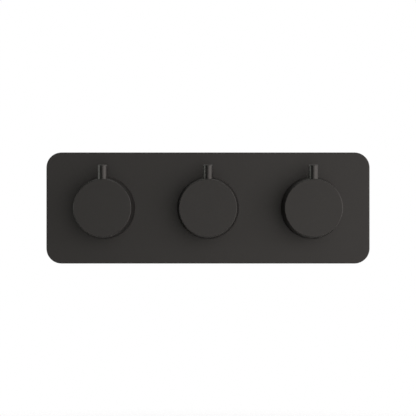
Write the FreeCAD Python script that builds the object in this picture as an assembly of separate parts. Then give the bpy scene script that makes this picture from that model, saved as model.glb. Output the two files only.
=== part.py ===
import FreeCAD, Part
import math
import os

# Concealed thermostatic shower valve: cover plate, three knobs and the rough-in valve behind them.
# Millimetres. X runs right, Y runs into the wall, Z runs up. The origin is the centre of the cover
# plate's back, on the finished wall. "Front" is a lower Y than "back".

V = FreeCAD.Vector
os.makedirs("parts", exist_ok=True)

# ---------------------------------------------------------------- driving dimensions

fit = 0.05                      # radial clearance of turning, sliding and threaded fits
end_gap = 0.1                   # clearance between end faces that move on each other
groove_side_gap = 0.15          # on each side of a seal in its groove
station_spacing = 102.7         # from knob axis to knob axis

# Cover plate
plate_end_margin = 57.3         # plate's end past the outer knob axes
plate_height = 110.0
plate_corner_radius = 15.0
plate_thickness = 6.0
plate_front_wall = 2.5
plate_rim = 6.0
plate_edge_radius = 0.8
plate_hole_clearance = 0.5
wall_seal_width = 4.0
wall_seal_clearance = 0.2

# Threaded sleeves that carry the plate
sleeve_radius = 21.5
sleeve_wall = 2.4
sleeve_reach = 9.0              # past the plate's front
ring_nut_radius = 26.0
ring_nut_thickness = 4.0
ring_nut_notches = 4
ring_nut_notch_width = 5.0
ring_nut_notch_depth = 2.5
sleeve_seal_radius = 25.5
sleeve_seal_thickness = 3.0

# Knobs
knob_height = 40.0
knob_rear_radius = 30.5
knob_front_radius = 28.2
knob_gap = 1.2                  # between plate and knob
knob_side_wall = 3.0
knob_front_wall = 4.0
knob_face_round = 0.6
knob_rear_round = 0.5
hub_radius = 13.0
hub_inset = 10.8                # hub starts this far in front of the knob's rear

# Lever pins
pin_radius = 4.75
pin_setback = 6.4               # pin axis behind the knob's face
pin_tip_height = 42.0           # above the knob's axis
pin_tip_round = 1.0
pin_root_height = 18.0
pin_stud_radius = 2.5
pin_stud_length = 6.0
pin_boss_margin = 2.5

# Knob fixing
carrier_radius = 8.0
carrier_setback = 13.2          # carrier's front behind the knob's face
carrier_front_wall = 2.0
grub_screw_radius = 2.0
grub_screw_length = 5.0
grub_screw_setback = 21.2       # behind the knob's face
grub_access_radius = 2.8
carrier_screw_radius = 2.0
carrier_screw_length = 10.0
carrier_screw_head_radius = 3.5
carrier_screw_head_height = 2.6
carrier_screw_socket_depth = 1.5
carrier_screw_clearance = 0.1
screw_head_room = 1.0           # between screw head and knob
hex_key_small = 2.0
hex_key_large = 2.5

# Stops between carrier and cartridge nose
stop_outer_radius = 11.0
stop_inner_radius = 9.0
stop_height = 3.0
stop_lug_angle = 30.0
stop_margin_angle = 2.0
stop_lug_side_gap = 0.2         # inside and outside the lug
stop_lug_end_gap = 0.3          # between the lug and the cartridge's nose
carrier_flange_thickness = 3.0
carrier_flange_gap = 5.0        # from the cartridge's nose to the carrier's flange
flow_turn = 90.0                # travel of an outlet control
temperature_turn_cold = 165.0   # travel of the temperature control towards cold
temperature_turn_hot = 40.0     # travel of the temperature control towards hot

# Spindles
spindle_radius = 4.5
spindle_square = 6.2
circlip_radius = 7.0
circlip_thickness = 1.0
circlip_gap_angle = 70.0
circlip_groove_depth = 0.9
circlip_groove_gap = 0.15       # groove's width over the circlip's
spindle_seal_section = 0.8
spindle_seal_pitch = 7.0
nose_reach = 2.0                # cartridge nose past the plate's front
nose_radius = 11.0
cartridge_hex_height = 6.0

# Valve body
body_setback = 16.0             # from the wall's face to the necks
neck_radius = 19.05
neck_length = 10.0
boss_radius = 23.0
flow_bore_radius = 13.0
flow_socket_depth = 42.0
thermo_bore_radius = 15.0
thermo_socket_depth = 46.0
gallery_offset = 13.0           # gallery axis behind the centre socket's floor
gallery_radius = 15.0
gallery_bore_radius = 9.0
gallery_end_reach = 2.0         # gallery's end past the outer bosses
leg_setback = 28.0              # leg axes behind the necks' front
leg_radius = 15.0
leg_reach = 50.0                # leg ends above and below the knob axes
leg_collar_length = 13.0
leg_collar_flats = 31.0
port_radius = 9.315             # G 1/2 internal thread at its crests
port_length = 15.0
leg_bore_radius = 8.5
leg_upper_bore_radius = 7.5
leg_bore_margin = 1.5           # the bore's end past the channel
leg_cap_height = 10.0
bridge_half_height = 8.0
channel_radius = 3.5
recess_depth = 2.0
boss_back_round = 4.0
casting_round = 2.0             # softened corners of the casting
nut_chamfer = 1.2               # turned off the corners of spanner flats
gallery_plug_flats = 24.0
gallery_plug_head = 7.0
gallery_plug_thread_radius = 10.5
gallery_plug_thread_length = 9.0
gallery_seal_thickness = 1.0

# Outlet cartridges
flow_hex = 26.0
flow_chamber_radius = 10.0
flow_flange_thickness = 3.0
flow_water_radius = 7.8         # way through the base seal and the socket's floor
flow_post_radius = 5.5
flow_blade_reach = 4.5          # half the length of the blade that turns the disc
disc_thickness = 3.5
disc_web_angle = 50.0           # solid part of a ceramic disc between its two openings
disc_rim = 1.6
disc_hub_radius = 2.6
disc_key_width = 2.4
disc_key_depth = 1.5
base_seal_height = 4.0
flow_window_length = 10.0
flow_window_width = 9.0
flow_window_setback = 1.0       # windows end this far in front of the turning disc

# Thermostatic cartridge
thermo_hex = 28.0
thermo_thread_length = 12.0
thermo_chamber_radius = 9.0
thermo_chamber_setback = 10.0   # chamber starts this far in front of the neck
thermo_flange_thickness = 2.0
thermo_flange_side_gap = 0.5
stop_ring_length = 3.0
stop_ring_wall = 2.5            # between the bonnet's nose and the ring's outside
drive_thread_radius = 4.0
drive_nut_gap = 2.0             # from spindle flange to drive nut
drive_nut_length = 8.0
drive_cup_length = 12.0
drive_cup_wall = 2.35
drive_key_width = 3.0
drive_key_height = 1.4
overload_wire = 1.4
overload_turns = 4
plunger_thickness = 2.0
plunger_setback = 1.0           # plunger's back inside the cup's mouth
cup_spring_gap = 0.2            # round the overload spring
piston_radius = 1.5
piston_length = 11.0
wax_neck_radius = 3.5
wax_neck_gap = 3.0              # from plunger to wax element
wax_neck_length = 8.0
wax_flange_radius = 7.0
wax_flange_thickness = 2.0
wax_bulb_radius = 5.5
wax_bulb_length = 14.0
wax_bulb_chamfer = 1.0
wax_bore_spare = 2.0            # bore past the piston's end
shuttle_radius = 11.5
shuttle_wall = 1.6
shuttle_hub_wall = 2.0
shuttle_hub_length = 3.0
shuttle_spoke_half_width = 1.0
shuttle_opening = 0.5           # between shuttle and each seat at rest
seat_length = 16.0              # from hot seat to cold seat
seat_front = 20.0               # hot seat behind the neck's front
seat_thickness = 2.0
seat_bore_radius = 8.6
seat_back_step = 0.9            # cage's bore behind the cold seat
mixed_way_step = 2.4            # ledge that the return spring stands on
hot_seat_length = 3.0
cage_end_wall = 2.0
cage_seal_section = 0.8
cage_seal_land = 1.2            # between a window and the next seal
shuttle_seal_section = 0.4
cage_window_length = 5.0
cage_window_count = 6
cage_window_width = 6.0
return_wire = 1.3
return_turns = 6
return_spring_gap = 0.3         # round the return spring

# Check valves and strainers in the inlet legs
strainer_thickness = 3.0
strainer_floor = 0.8
strainer_wall = 1.0
strainer_hole_radius = 0.8
strainer_rim = 1.6              # undrilled edge of the floor
check_cage_length = 20.0
check_seat_thickness = 2.0
check_seat_radius = 5.2
check_poppet_radius = 6.4
check_poppet_thickness = 2.0
check_stem_radius = 1.5
check_stem_length = 13.0
check_guide_length = 3.0
check_guide_setback = 2.0       # guide below the cage's top
check_guide_wall = 1.5
check_spoke_half_width = 0.7
check_cage_wall = 1.2
check_wire = 0.7
check_turns = 5
check_spring_side_gap = 1.0     # between stem and spring
check_spring_end_gap = 0.05

# Mounting bracket
bracket_thickness = 2.0
bracket_reach = 45.3            # bracket's ends past the outer knob axes
bracket_height = 50.0
bracket_wing = 36.0
bracket_step = 5.0
bracket_hole_radius = 2.75
bracket_hole_end_inset = 16.0
bracket_hole_edge_inset = 9.0
pad_width = 16.0
pad_reach = 1.0                 # pad's face behind the gallery's back
pad_half_height = 21.0
pad_screw_z = 16.0
pad_screw_radius = 2.5
pad_screw_clearance = 0.25
pad_screw_length = 10.0
pad_screw_head_radius = 4.5
pad_screw_head_height = 2.8
pad_screw_head_round = 1.0
pad_screw_socket_depth = 1.6

# ---------------------------------------------------------------- places worked out from them

stations = {"left": -station_spacing, "centre": 0.0, "right": station_spacing}
flow_stations = {"left": -station_spacing, "right": station_spacing}

plate_width = 2 * (station_spacing + plate_end_margin)
plate_front = -plate_thickness
knob_rear = plate_front - knob_gap
knob_front = knob_rear - knob_height
pin_y = knob_front + pin_setback
sleeve_bore_radius = sleeve_radius - sleeve_wall
sleeve_front = plate_front - sleeve_reach
nose_front = plate_front - nose_reach
carrier_front = knob_front + carrier_setback
carrier_flange_back = nose_front - carrier_flange_gap
carrier_flange_front = carrier_flange_back - carrier_flange_thickness
spindle_front = carrier_front + carrier_front_wall

neck_front = body_setback
neck_back = neck_front + neck_length
flow_floor = neck_front + flow_socket_depth
thermo_floor = neck_front + thermo_socket_depth
gallery_y = thermo_floor + gallery_offset
leg_y = neck_front + leg_setback
inlet_x = station_spacing / 2
hex_front = neck_front - cartridge_hex_height

base_seal_front = flow_floor - base_seal_height
fixed_disc_front = base_seal_front - disc_thickness
turning_disc_front = fixed_disc_front - disc_thickness
flow_window_back = turning_disc_front - flow_window_setback
flow_window_front = flow_window_back - flow_window_length
flow_flange_front = flow_window_front - 2 * flow_flange_thickness
flow_housing_back = flow_floor - base_seal_height / 2

thermo_thread_back = neck_front + thermo_thread_length
thermo_chamber_front = neck_front - thermo_chamber_setback
thermo_flange_back = thermo_chamber_front + end_gap + thermo_flange_thickness
drive_nut_front = thermo_flange_back + drive_nut_gap
drive_nut_back = drive_nut_front + drive_nut_length
drive_cup_back = drive_nut_back + drive_cup_length
drive_cup_bore = thermo_chamber_radius - fit - drive_cup_wall
plunger_back = drive_cup_back - plunger_setback
plunger_front = plunger_back - plunger_thickness
wax_front = plunger_back + wax_neck_gap
wax_flange_front = wax_front + wax_neck_length
wax_flange_back = wax_flange_front + wax_flange_thickness
hot_seat_back = neck_front + seat_front
cold_seat_front = hot_seat_back + seat_length
shuttle_front = hot_seat_back + shuttle_opening
shuttle_back = cold_seat_front - shuttle_opening
shuttle_seal_y = (shuttle_front + shuttle_back) / 2
shuttle_hub_back = wax_flange_back + shuttle_hub_length
cage_spring_seat = thermo_floor - cage_end_wall
hot_channel_y = hot_seat_back + cage_window_length / 2
cold_channel_y = cold_seat_front - cage_window_length / 2

strainer_z = -leg_reach + port_length
check_bottom = strainer_z + strainer_thickness
check_top = check_bottom + check_cage_length
check_seat_z = check_bottom + check_seat_thickness
leg_bore_top = channel_radius + leg_bore_margin
check_guide_bottom = check_top - check_guide_setback - check_guide_length

gallery_half_length = station_spacing + boss_radius + gallery_end_reach
pad_x = (inlet_x + station_spacing) / 2
pad_back = gallery_y + gallery_radius + pad_reach
bracket_half_width = station_spacing + bracket_reach
bracket_back = pad_back + bracket_thickness + bracket_step
bracket_hole_x = bracket_half_width - bracket_hole_end_inset
bracket_hole_z = bracket_height / 2 - bracket_hole_edge_inset

# ---------------------------------------------------------------- shared shapes


def bar(radius, start, end):
    """A round bar between two points."""
    start, end = V(*start), V(*end)
    return Part.makeCylinder(radius, (end - start).Length, start, end - start)


def bar_y(radius, front, back, x=0.0, z=0.0):
    """A round bar along Y."""
    return bar(radius, (x, front, z), (x, back, z))


def ring_y(outer, inner, front, back, x=0.0, z=0.0):
    """A plain ring along Y."""
    return bar_y(outer, front, back, x, z).cut(bar_y(inner, front - 1, back + 1, x, z))


def box(x_low, x_high, y_low, y_high, z_low, z_high):
    """A block between two opposite corners."""
    return Part.makeBox(x_high - x_low, y_high - y_low, z_high - z_low, V(x_low, y_low, z_low))


def prism(sides, across, start, end):
    """A bar with that many flats, between two points."""
    start, end = V(*start), V(*end)
    corner = across / 2 / math.cos(math.pi / sides)
    turn = FreeCAD.Rotation(V(0, 0, 1), end - start)
    angles = [2 * math.pi * (i + 0.5) / sides for i in range(sides + 1)]
    rim = [start + turn.multVec(V(corner * math.cos(a), corner * math.sin(a), 0)) for a in angles]
    return Part.Face(Part.makePolygon(rim)).extrude(end - start)


def nut_form(sides, across, start, end):
    """Spanner flats with their corners turned off at both ends."""
    corner = across / 2 / math.cos(math.pi / sides)
    blank = bar(corner, start, end)
    return prism(sides, across, start, end).common(blank.makeChamfer(nut_chamfer, blank.Edges[:3:2]))


def softened(block, radius, direction):
    """A block with the edges along one direction rounded."""
    along = [e for e in block.Edges if abs(e.tangentAt(e.FirstParameter).dot(direction)) > 0.99]
    return block.makeFillet(radius, along)


def turned(profile, x=0.0):
    """A solid turned about a line along Y, from (radius, depth) corners."""
    corners = [V(x + radius, depth, 0) for radius, depth in profile]
    return Part.Face(Part.makePolygon(corners + corners[:1])).revolve(V(x, 0, 0), V(0, 1, 0), 360)


def segment(outer, inner, front, back, start_angle, sweep_angle, x=0.0):
    """Part of a ring along Y. Angles run anticlockwise from the top, seen from the front."""
    corners = [V(x, front, inner), V(x, front, outer), V(x, back, outer), V(x, back, inner)]
    section = Part.Face(Part.makePolygon(corners + corners[:1]))
    solid = section.revolve(V(x, 0, 0), V(0, -1, 0), sweep_angle)
    solid.rotate(V(x, 0, 0), V(0, -1, 0), start_angle)
    return solid


def rounded_slab(width, height, corner, front, back):
    """An upright slab with rounded corners."""
    return softened(box(-width / 2, width / 2, front, back, -height / 2, height / 2), corner, V(0, 1, 0))


def edges_at(shape, depth):
    """The edges that lie in one plane across Y."""
    boxes = [(edge, edge.BoundBox) for edge in shape.Edges]
    return [edge for edge, span in boxes if abs(span.YMin - depth) < 0.01 and abs(span.YMax - depth) < 0.01]


def o_ring(inner, section, centre, axis):
    """A round-section seal. Its section is a radius."""
    return Part.makeTorus(inner + section, section, V(*centre), V(*axis))


def joined(shapes):
    """One solid out of overlapping ones."""
    return shapes[0].multiFuse(shapes[1:]).removeSplitter()


def arc_from(start, tangent, reach, end):
    """An arc that leaves start along its tangent and reaches end; reach is its tangent's length."""
    corner = start + tangent * reach
    middle = (start + end) * 0.5
    lean = tangent.getAngle(end - start)
    crown = middle + (corner - middle) * (math.tan(lean / 2) / math.tan(lean))
    return Part.Arc(start, crown, end).toShape()


def spring(mean_radius, wire_radius, length, turns, start, axis):
    """An open coil spring: one round wire along a helix of paired arcs, a pair to a quarter turn."""
    steps = turns * 4
    pitch = (length - 2 * wire_radius) / turns
    slope = math.hypot(mean_radius, pitch / (2 * math.pi))

    def place(step):
        angle, climb = step * math.pi / 2, wire_radius + pitch * step / 4
        return V(mean_radius * math.cos(angle), mean_radius * math.sin(angle), climb)

    def heading(step):
        angle, climb = step * math.pi / 2, pitch / (2 * math.pi)
        return V(-mean_radius * math.sin(angle), mean_radius * math.cos(angle), climb) / slope

    edges = []
    for step in range(steps):
        first, last = place(step), place(step + 1)
        leave, arrive = heading(step), heading(step + 1)
        chord, both = last - first, leave + arrive
        spread = 2 * (1 - leave.dot(arrive))
        along = chord.dot(both)
        reach = (math.sqrt(along ** 2 + spread * chord.dot(chord)) - along) / spread
        meet = (first + leave * reach + last - arrive * reach) * 0.5
        edges.append(arc_from(first, leave, reach, meet))
        edges.append(arc_from(last, arrive * -1, reach, meet))
    path = Part.Wire(Part.__sortEdges__(edges))
    section = Part.Wire(Part.makeCircle(wire_radius, place(0), heading(0)))
    coil = path.makePipeShell([section], True, False)
    coil.Placement = FreeCAD.Placement(V(*start), FreeCAD.Rotation(V(0, 0, 1), V(*axis)))
    wire_length = turns * 2 * math.pi * slope
    print(f"spring: {coil.Volume / (math.pi * wire_radius ** 2 * wire_length):.4f} of its wire's volume, "
          f"gap between turns {pitch - 2 * wire_radius:.2f}")
    return coil


def save(name, shapes):
    """Writes one node, as a single solid or a group of separate ones."""
    solids = [solid for shape in shapes for solid in shape.Solids]
    whole = solids[0] if len(solids) == 1 else Part.makeCompound(solids)
    if not whole.isValid():
        print("not valid:", name)
    if len(solids) != len(shapes):
        print("in pieces:", name, len(solids), "for", len(shapes))
    whole.exportStep(f"parts/{name}.step")


# ---------------------------------------------------------------- cover plate and sleeves


def cover_plate():
    """Brass plate with rounded corners, hollow at the back, with a hole for each sleeve."""
    slab = rounded_slab(plate_width, plate_height, plate_corner_radius, plate_front, 0)
    slab = slab.makeFillet(plate_edge_radius, edges_at(slab, plate_front))
    plate = slab.cut(rounded_slab(
        plate_width - 2 * plate_rim, plate_height - 2 * plate_rim, plate_corner_radius - plate_rim,
        plate_front + plate_front_wall, 1,
    ))
    for x in stations.values():
        plate = plate.cut(bar_y(sleeve_radius + plate_hole_clearance, plate_front - 1, 1, x))
    return plate


def plate_wall_seal():
    """Foam frame just inside the plate's rim, pressed flush with it by the wall."""
    inset = plate_rim + wall_seal_clearance
    inner = inset + wall_seal_width
    front = plate_front + plate_front_wall
    outside = rounded_slab(plate_width - 2 * inset, plate_height - 2 * inset,
                           plate_corner_radius - inset, front, 0)
    inside = rounded_slab(plate_width - 2 * inner, plate_height - 2 * inner,
                          plate_corner_radius - inner, front - 1, 1)
    return outside.cut(inside)


def sleeve(x):
    """Brass tube, threaded on the body's neck, that carries the plate."""
    return ring_y(sleeve_radius, sleeve_bore_radius, sleeve_front, neck_back, x)


def ring_nut(x):
    """Round nut with spanner notches that clamps the plate, under the knob."""
    front = plate_front - ring_nut_thickness
    nut = ring_y(ring_nut_radius, sleeve_radius + fit, front, plate_front, x)
    notch = box(-ring_nut_notch_width / 2, ring_nut_notch_width / 2, front - 1, plate_front - 1,
                ring_nut_radius - ring_nut_notch_depth, ring_nut_radius + 1)
    for i in range(ring_nut_notches):
        cutter = notch.copy()
        cutter.rotate(V(0, 0, 0), V(0, 1, 0), 45 + 360 * i / ring_nut_notches)
        cutter.translate(V(x, 0, 0))
        nut = nut.cut(cutter)
    return nut


def sleeve_seal(x):
    """Rubber ring round the sleeve, behind the plate."""
    front = plate_front + plate_front_wall
    return ring_y(sleeve_seal_radius, sleeve_radius + fit, front, front + sleeve_seal_thickness, x)


# ---------------------------------------------------------------- knobs and what fixes them


def knob(x):
    """Tapered metal knob, hollow behind its face, with a hub for the carrier and a boss for the pin."""
    outward = V(0, -1, 0)
    outside = Part.makeCone(knob_rear_radius, knob_front_radius, knob_height, V(x, knob_rear, 0), outward)
    outside = outside.makeFillet(knob_face_round, edges_at(outside, knob_front))
    outside = outside.makeFillet(knob_rear_round, edges_at(outside, knob_rear))
    hollow_depth = knob_height - knob_front_wall
    taper = (knob_rear_radius - knob_front_radius) * hollow_depth / knob_height
    rear_bore = knob_rear_radius - knob_side_wall
    hollow = Part.makeCone(rear_bore, rear_bore - taper, hollow_depth, V(x, knob_rear, 0), outward)
    hub_front = knob_front + knob_front_wall / 2
    hub = bar_y(hub_radius, hub_front, knob_rear - hub_inset, x)
    boss_half = pin_radius + pin_boss_margin
    boss = box(x - boss_half, x + boss_half, hub_front, pin_y + boss_half, 0, knob_front_radius - 1)
    shell = joined([outside.cut(hollow), hub, boss])
    screw_room = carrier_front - carrier_screw_head_height - screw_head_room
    grub_y = knob_front + grub_screw_setback
    stud_bottom = pin_root_height - pin_stud_length - 1
    cuts = [
        bar_y(carrier_radius + fit, screw_room, knob_rear, x),
        bar(pin_radius + fit, (x, pin_y, pin_root_height), (x, pin_y, pin_tip_height)),
        bar(pin_stud_radius + fit, (x, pin_y, stud_bottom), (x, pin_y, pin_root_height + 1)),
        bar(grub_screw_radius + fit, (x, grub_y, -hub_radius - 1), (x, grub_y, 0)),
        bar(grub_access_radius, (x, grub_y, -knob_rear_radius - 1), (x, grub_y, -hub_radius - 1)),
    ]
    for cutter in cuts:
        shell = shell.cut(cutter)
    return shell


def knob_pin(x):
    """Round lever pin with a softened end and a threaded stud into the knob."""
    pin = bar(pin_radius, (x, pin_y, pin_root_height), (x, pin_y, pin_tip_height))
    tip = [e for e in pin.Edges if e.BoundBox.ZMin > pin_tip_height - 0.01]
    pin = pin.makeFillet(pin_tip_round, tip)
    stud_bottom = pin_root_height - pin_stud_length
    stud = bar(pin_stud_radius, (x, pin_y, stud_bottom), (x, pin_y, pin_root_height + 1))
    return joined([pin, stud])


def knob_grub_screw(x):
    """Grub screw with a hexagon socket, driven from under the knob against the carrier."""
    grub_y = knob_front + grub_screw_setback
    top = -carrier_radius
    bottom = top - grub_screw_length
    screw = bar(grub_screw_radius, (x, grub_y, bottom), (x, grub_y, top))
    return screw.cut(prism(6, hex_key_small, (x, grub_y, bottom - 1), (x, grub_y, bottom + 2)))


def knob_carrier(x):
    """Brass bush on the spindle's square: carries the knob, and its lug swings between the stops."""
    body = turned([
        (0, carrier_front), (carrier_radius, carrier_front), (carrier_radius, carrier_flange_front),
        (stop_outer_radius, carrier_flange_front), (stop_outer_radius, carrier_flange_back),
        (0, carrier_flange_back),
    ], x)
    lug = segment(stop_outer_radius - stop_lug_side_gap, stop_inner_radius + stop_lug_side_gap,
                  carrier_flange_back - 1, nose_front - stop_lug_end_gap,
                  -stop_lug_angle / 2, stop_lug_angle, x)
    across = spindle_square + 2 * fit
    square = box(x - across / 2, x + across / 2, spindle_front, 0, -across / 2, across / 2)
    body = body.cut(square).cut(bar_y(spindle_radius + fit, carrier_flange_front, 0, x))
    body = body.cut(bar_y(carrier_screw_radius + carrier_screw_clearance, carrier_front - 1, 0, x))
    return joined([body, lug])


def carrier_screw(x):
    """Socket head screw that holds the carrier on its spindle."""
    head_front = carrier_front - carrier_screw_head_height
    head = bar_y(carrier_screw_head_radius, head_front, carrier_front, x)
    shank = bar_y(carrier_screw_radius, carrier_front - 1, carrier_front + carrier_screw_length, x)
    socket_back = head_front + carrier_screw_socket_depth
    socket = prism(6, hex_key_large, (x, head_front - 1, 0), (x, socket_back, 0))
    return joined([head, shank]).cut(socket)


# ---------------------------------------------------------------- what all three spindles share


def spindle_top(x, back):
    """Front of a spindle: square for the carrier, screw hole, circlip groove and seal grooves."""
    shaft = bar_y(spindle_radius, carrier_flange_front + fit, back, x)
    half = spindle_square / 2
    square = box(x - half, x + half, spindle_front, carrier_flange_front + 1, -half, half)
    top = joined([shaft, square])
    screw_hole = bar_y(carrier_screw_radius + fit, spindle_front - 1,
                       carrier_front + carrier_screw_length + 1, x)
    top = top.cut(screw_hole)
    clip_back = nose_front - end_gap
    clip_front = clip_back - circlip_thickness - circlip_groove_gap
    top = top.cut(groove(x, clip_front, clip_back + fit, circlip_groove_depth))
    for y in spindle_seal_places():
        half_groove = spindle_seal_section + groove_side_gap
        top = top.cut(groove(x, y - half_groove, y + half_groove, 2 * spindle_seal_section - fit))
    return top


def groove(x, front, back, depth):
    """A groove to cut round a spindle."""
    return ring_y(spindle_radius + 1, spindle_radius - depth, front, back, x)


def spindle_seal_places():
    """Depths of the two seals on a spindle."""
    first = nose_front + spindle_seal_pitch / 2
    return [first, first + spindle_seal_pitch]


def spindle_seals(x):
    """Two O-rings in the spindle's grooves."""
    inner = spindle_radius + fit - 2 * spindle_seal_section
    section = spindle_seal_section - fit / 4
    return [o_ring(inner, section, (x, y, 0), (0, 1, 0)) for y in spindle_seal_places()]


def circlip(x):
    """Open spring steel ring in the spindle's groove, in front of the cartridge's nose."""
    back = nose_front - end_gap
    inner = spindle_radius - circlip_groove_depth + fit
    return segment(circlip_radius, inner, back - circlip_thickness, back,
                   circlip_gap_angle / 2, 360 - circlip_gap_angle, x)


def stop_segment(x, start_turn, end_turn, back):
    """Raised wall that the carrier's lug meets at both ends of its travel."""
    half = stop_lug_angle / 2 + stop_margin_angle
    start = end_turn + half
    sweep = 360 - (end_turn - start_turn) - 2 * half
    return segment(stop_outer_radius, stop_inner_radius, nose_front - stop_height, back, start, sweep, x)


# ---------------------------------------------------------------- outlet cartridges


def flow_housing(x):
    """Brass housing of an outlet cartridge, with water windows and stops on its nose."""
    radius = flow_bore_radius - fit
    nose = bar_y(nose_radius, nose_front, hex_front + 1, x)
    head = prism(6, flow_hex, (x, hex_front, 0), (x, neck_front, 0))
    barrel = bar_y(radius, neck_front - 1, flow_housing_back, x)
    stop = stop_segment(x, 0, flow_turn, nose_front + 1)
    housing = joined([nose, head, barrel, stop])
    housing = housing.cut(bar_y(spindle_radius + fit, nose_front - 1, flow_flange_front + 1, x))
    housing = housing.cut(bar_y(flow_chamber_radius, flow_flange_front, flow_housing_back + 1, x))
    half = flow_window_width / 2
    for low, high in ((-radius - 1, 0), (0, radius + 1)):
        housing = housing.cut(box(x + low, x + high, flow_window_front, flow_window_back, -half, half))
        housing = housing.cut(box(x - half, x + half, flow_window_front, flow_window_back, low, high))
    key = disc_key_width / 2 + fit
    slot = box(x - key, x + key, fixed_disc_front, flow_housing_back + 1, -radius - 1, radius + 1)
    return housing.cut(slot)


def flow_spindle(x):
    """Brass spindle with a thrust flange and a blade that turns the ceramic disc."""
    flange_front = flow_flange_front + end_gap
    flange_back = flange_front + flow_flange_thickness
    top = spindle_top(x, flange_front + 1)
    flange = bar_y(flow_chamber_radius - fit, flange_front, flange_back, x)
    post_back = turning_disc_front - end_gap
    post = bar_y(flow_post_radius, flange_back - 1, post_back, x)
    half = disc_key_width / 2
    blade = box(x - flow_blade_reach, x + flow_blade_reach, post_back - 1,
                turning_disc_front + disc_key_depth - end_gap, -half, half)
    return joined([top, flange, post, blade])


def disc_blank(x, front, back, opening_angle):
    """A ceramic disc with two opposite openings, the first centred at the given angle."""
    disc = bar_y(flow_chamber_radius - fit, front, back, x)
    sweep = 180 - disc_web_angle
    outer = flow_chamber_radius - fit - disc_rim
    for angle in (opening_angle, opening_angle + 180):
        disc = disc.cut(segment(outer, disc_hub_radius, front - 1, back + 1, angle - sweep / 2, sweep, x))
    return disc


def turning_disc(x):
    """Ceramic disc that turns with the spindle; its openings stand across the fixed ones at rest."""
    disc = disc_blank(x, turning_disc_front, fixed_disc_front, 0)
    key = disc_key_width / 2 + fit
    reach = flow_blade_reach + fit
    slot_back = turning_disc_front + disc_key_depth
    return disc.cut(box(x - reach, x + reach, turning_disc_front - 1, slot_back, -key, key))


def fixed_disc(x):
    """Ceramic disc held from turning by two keys in the housing's slots."""
    disc = disc_blank(x, fixed_disc_front, base_seal_front, 90)
    half = disc_key_width / 2
    reach = flow_bore_radius - 1.0
    keys = box(x - half, x + half, fixed_disc_front + fit, base_seal_front, -reach, reach)
    middle = flow_chamber_radius - fit - disc_rim / 2
    keys = keys.cut(bar_y(middle, fixed_disc_front - 1, base_seal_front + 1, x))
    return joined([disc, keys])


def flow_base_seal(x):
    """Rubber lip seal between the fixed disc and the socket's floor."""
    return ring_y(flow_chamber_radius - 2 * fit, flow_water_radius, base_seal_front, flow_floor, x)


# ---------------------------------------------------------------- thermostatic cartridge


def thermo_bonnet():
    """Brass head of the thermostatic cartridge, screwed into the centre neck."""
    step = nose_front + stop_ring_length
    core = stop_outer_radius - stop_ring_wall
    nose = turned([
        (0, nose_front), (core, nose_front), (core, step), (nose_radius, step),
        (nose_radius, hex_front + 1), (0, hex_front + 1),
    ])
    head = prism(6, thermo_hex, (0, hex_front, 0), (0, neck_front, 0))
    barrel = bar_y(thermo_bore_radius - fit, neck_front - 1, thermo_thread_back)
    bonnet = joined([nose, head, barrel])
    bonnet = bonnet.cut(bar_y(spindle_radius + fit, nose_front - 1, thermo_chamber_front + 1))
    bonnet = bonnet.cut(bar_y(thermo_chamber_radius, thermo_chamber_front, thermo_thread_back + 1))
    key = drive_key_width / 2 + fit
    reach = thermo_chamber_radius + drive_key_height + fit
    return bonnet.cut(box(-reach, reach, thermo_flange_back, thermo_thread_back + 1, -key, key))


def temperature_stop_ring():
    """Plastic ring on the bonnet's nose that sets the coldest and the hottest position."""
    inner = stop_outer_radius - stop_ring_wall + fit
    ring = ring_y(stop_outer_radius, inner, nose_front, nose_front + stop_ring_length)
    stop = stop_segment(0, -temperature_turn_cold, temperature_turn_hot, nose_front + 1)
    return joined([ring, stop])


def thermo_spindle():
    """Brass spindle with a thrust flange and the thread that drives the nut."""
    flange_front = thermo_chamber_front + end_gap
    top = spindle_top(0, flange_front + 1)
    flange_radius = thermo_chamber_radius - thermo_flange_side_gap
    flange = bar_y(flange_radius, flange_front, thermo_flange_back)
    screw = bar_y(drive_thread_radius, thermo_flange_back - 1, drive_nut_back - end_gap)
    return joined([top, flange, screw])


def thermo_drive_nut():
    """Nut kept from turning by two keys; its cup holds the overload spring."""
    radius = thermo_chamber_radius - fit
    nut = bar_y(radius, drive_nut_front, drive_cup_back)
    reach = thermo_chamber_radius + drive_key_height - fit
    half = drive_key_width / 2
    keys = box(-reach, reach, drive_nut_front, drive_nut_back, -half, half)
    nut = joined([nut, keys]).cut(bar_y(drive_cup_bore, drive_nut_back, drive_cup_back + 1))
    return nut.cut(bar_y(drive_thread_radius + fit, drive_nut_front - 1, drive_nut_back + 1))


def overload_spring():
    """Stiff spring that gives way if the shuttle is already shut."""
    wire = overload_wire / 2
    mean = drive_cup_bore - wire - cup_spring_gap
    length = plunger_front - drive_nut_back
    return spring(mean, wire, length, overload_turns, (0, drive_nut_back, 0), (0, 1, 0))


def overload_plunger():
    """Steel plunger between the overload spring and the wax element's piston."""
    return bar_y(drive_cup_bore - fit, plunger_front, plunger_back)


def wax_piston():
    """Polished rod that the wax pushes out as it warms."""
    return bar_y(piston_radius, plunger_back, plunger_back + piston_length)


def wax_element():
    """Copper capsule of wax with a guide neck and a flange that carries the shuttle."""
    bulb_back = wax_flange_back + wax_bulb_length
    element = turned([
        (0, wax_front), (wax_neck_radius, wax_front), (wax_neck_radius, wax_flange_front),
        (wax_flange_radius, wax_flange_front), (wax_flange_radius, wax_flange_back),
        (wax_bulb_radius, wax_flange_back), (wax_bulb_radius, bulb_back - wax_bulb_chamfer),
        (wax_bulb_radius - wax_bulb_chamfer, bulb_back), (0, bulb_back),
    ])
    bore_back = plunger_back + piston_length + wax_bore_spare
    return element.cut(bar_y(piston_radius + fit, wax_front - 1, bore_back))


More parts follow.
